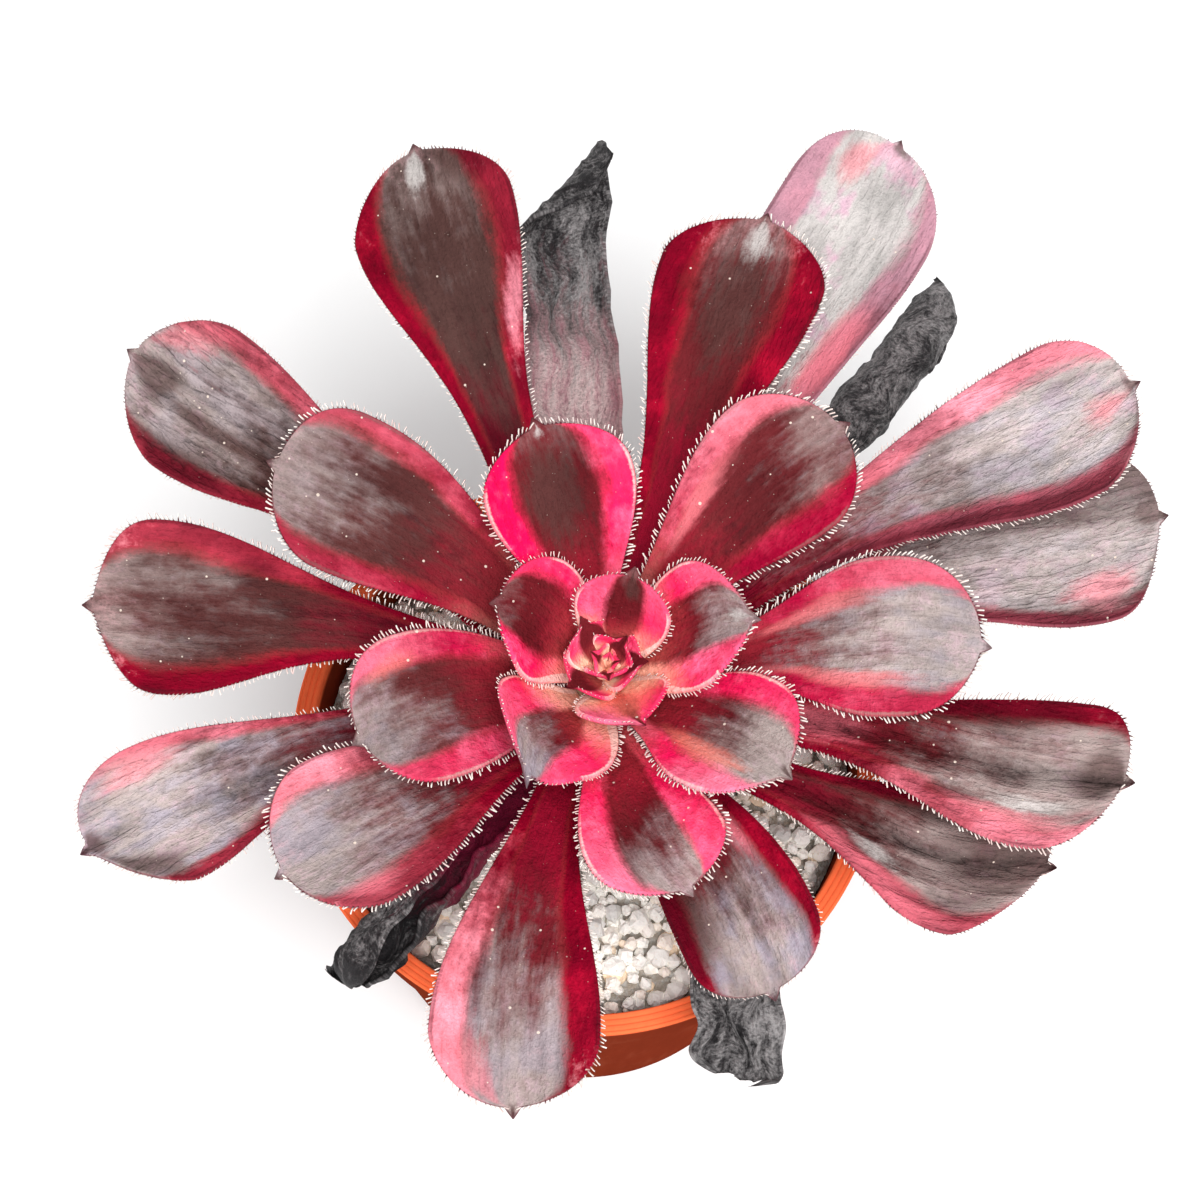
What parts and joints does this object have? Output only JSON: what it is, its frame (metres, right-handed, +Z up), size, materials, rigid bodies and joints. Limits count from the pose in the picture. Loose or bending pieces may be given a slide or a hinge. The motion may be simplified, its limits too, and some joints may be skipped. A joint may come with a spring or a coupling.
{
  "type": "potted aeonium",
  "caption": "Dark red aeonium: a flat rosette of fleshy spoon-shaped leaves with dried leaves below, on a short stem, in a small round plastic pot topped with pumice gravel",
  "frame": {"origin": "middle of the flat underside of the pot", "axes": "+Z up along the pot's axis; -Y is the front that the picture shows, +X to its right"},
  "size_m": [0.1559, 0.1574, 0.1297],
  "materials": {
    "pot_plastic": "terracotta-orange moulded plastic, satin",
    "potting_mix": "dark, fibrous and dull",
    "pumice": "rough, porous, off-white and pinkish grains",
    "stem_bark": "dull grey-brown bark with leaf scars",
    "leaf_mature": "velvety crimson margins round a maroon to silver-grey stripe",
    "leaf_young": "velvety hot pink margins, dark stripe, cream base",
    "leaf_dried": "dull charcoal, wrinkled"
  },
  "bodies": {
    "root": {"pot": "pot_plastic", "potting_mix": "potting_mix", "pumice_layer": "pumice", "stem": "stem_bark", "heart_bud": "leaf_young", "leaf_01": "leaf_mature", "leaf_02": "leaf_mature", "leaf_03": "leaf_mature", "leaf_04": "leaf_mature", "leaf_05": "leaf_mature", "leaf_06": "leaf_mature", "leaf_07": "leaf_mature", "leaf_08": "leaf_mature", "leaf_09": "leaf_mature", "leaf_10": "leaf_mature", "leaf_11": "leaf_mature", "leaf_12": "leaf_mature", "leaf_13": "leaf_mature", "leaf_14": "leaf_mature", "leaf_15": "leaf_mature", "leaf_16": "leaf_mature", "leaf_17": "leaf_mature", "leaf_18": "leaf_mature", "leaf_19": "leaf_mature", "leaf_20": "leaf_mature", "leaf_21": "leaf_young", "leaf_22": "leaf_young", "leaf_23": "leaf_young", "leaf_24": "leaf_young", "leaf_25": "leaf_young", "dried_leaf_1": "leaf_dried", "dried_leaf_2": "leaf_dried", "dried_leaf_3": "leaf_dried", "dried_leaf_4": "leaf_dried", "dried_leaf_5": "leaf_dried"}
  },
  "joints": []
}
